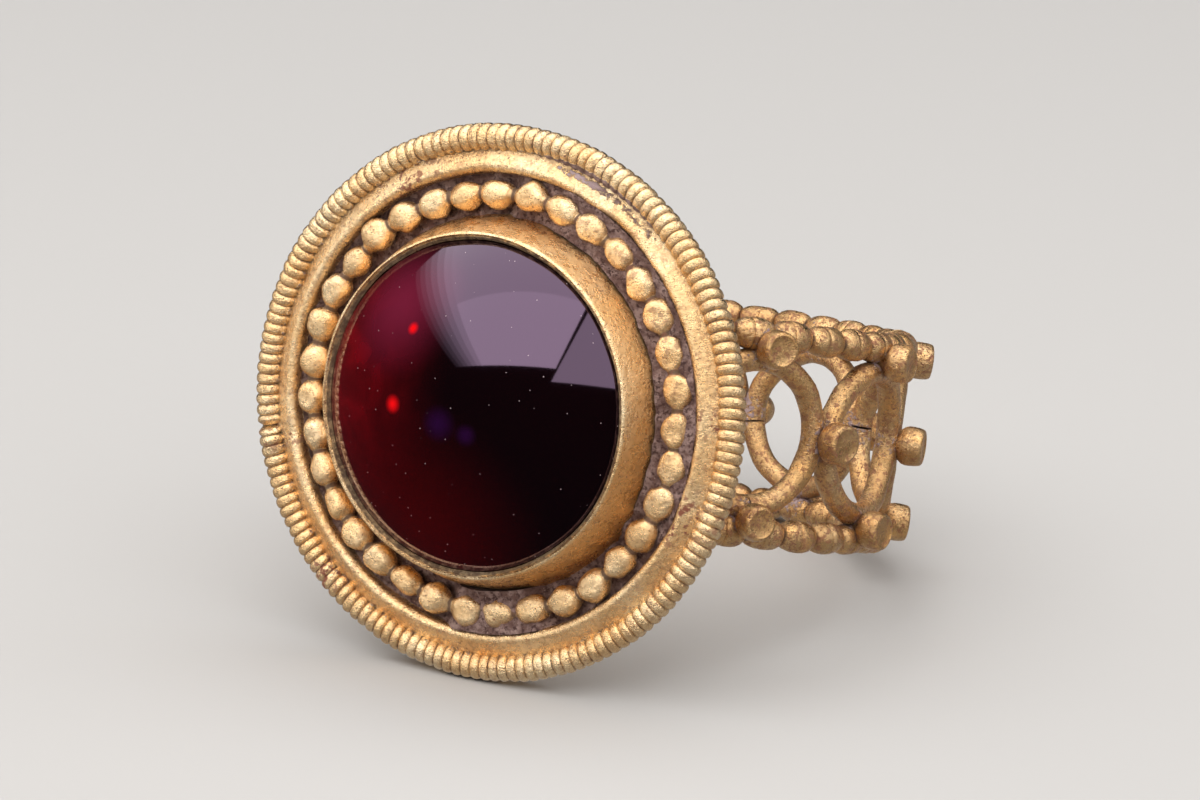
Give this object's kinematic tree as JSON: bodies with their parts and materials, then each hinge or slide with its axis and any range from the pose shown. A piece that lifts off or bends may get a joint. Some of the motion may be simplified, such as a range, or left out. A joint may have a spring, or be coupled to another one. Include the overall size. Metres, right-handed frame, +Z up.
{
  "type": "cabochon ring",
  "caption": "Finger ring with a round domed red stone in a smooth collar, beaded and ridged wire borders, and an openwork wire hoop.",
  "frame": {"origin": "on the surface the ring lies on, below the middle of its bounding box", "axes": "+Z up from that surface, the stone faces -Y and a little upwards, +X to the right as seen from the stone's side"},
  "size_m": [0.023, 0.0268, 0.0202],
  "materials": {
    "garnet": "polished deep red garnet, nearly black in the mass",
    "gold": "worn high-carat gold with fine scratches and reddish-brown patina and soil in the recesses"
  },
  "bodies": {
    "root": {"stone": "garnet", "setting": "gold", "hoop": "gold"}
  },
  "joints": []
}
